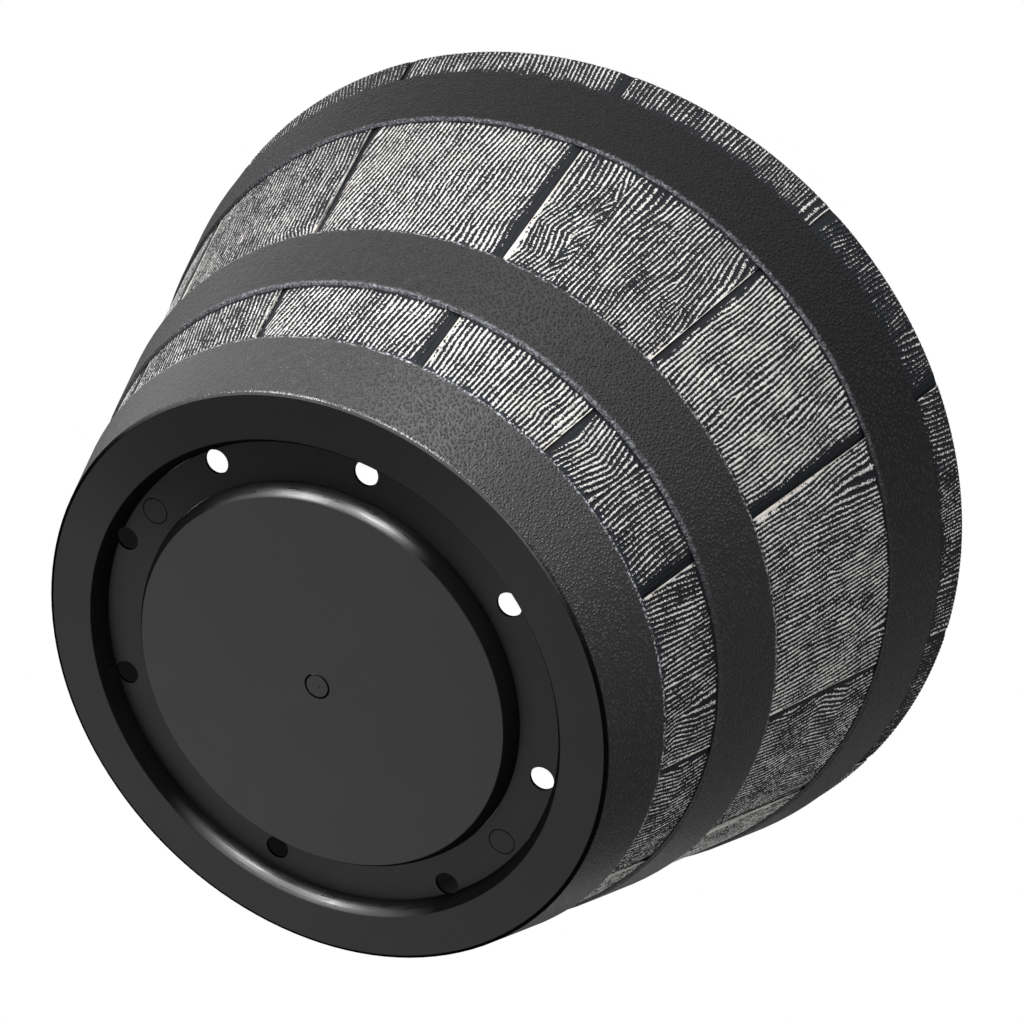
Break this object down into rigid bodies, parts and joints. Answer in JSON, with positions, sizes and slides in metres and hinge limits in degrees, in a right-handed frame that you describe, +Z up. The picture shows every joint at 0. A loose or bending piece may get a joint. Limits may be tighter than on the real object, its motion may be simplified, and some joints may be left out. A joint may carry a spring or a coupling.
{
  "type": "barrel planter",
  "caption": "Round tapered plant pot dressed as a half barrel: grained planks behind broad flat hoops, with a stepped foot and drain holes.",
  "frame": {"origin": "centre of the foot ring's underside, on the ground", "axes": "+Z up along the pot's own axis, from the foot to the rim; -Y faces the side that the picture shows"},
  "size_m": [0.3808, 0.3808, 0.207],
  "materials": {
    "plank_plastic": "moulded wood grain, charcoal with the raised grain dry-brushed off-white",
    "hoop_plastic": "fine pebbled texture",
    "pot_plastic": "smooth satin"
  },
  "bodies": {
    "root": {"pot_liner": "pot_plastic", "stave_01": "plank_plastic", "stave_02": "plank_plastic", "stave_03": "plank_plastic", "stave_04": "plank_plastic", "stave_05": "plank_plastic", "stave_06": "plank_plastic", "stave_07": "plank_plastic", "stave_08": "plank_plastic", "stave_09": "plank_plastic", "stave_10": "plank_plastic", "stave_11": "plank_plastic", "stave_12": "plank_plastic", "lower_hoop": "hoop_plastic", "middle_hoop": "hoop_plastic", "upper_hoop": "hoop_plastic", "foot_ring": "pot_plastic", "drain_channel": "pot_plastic", "base_disc": "pot_plastic"}
  },
  "joints": []
}
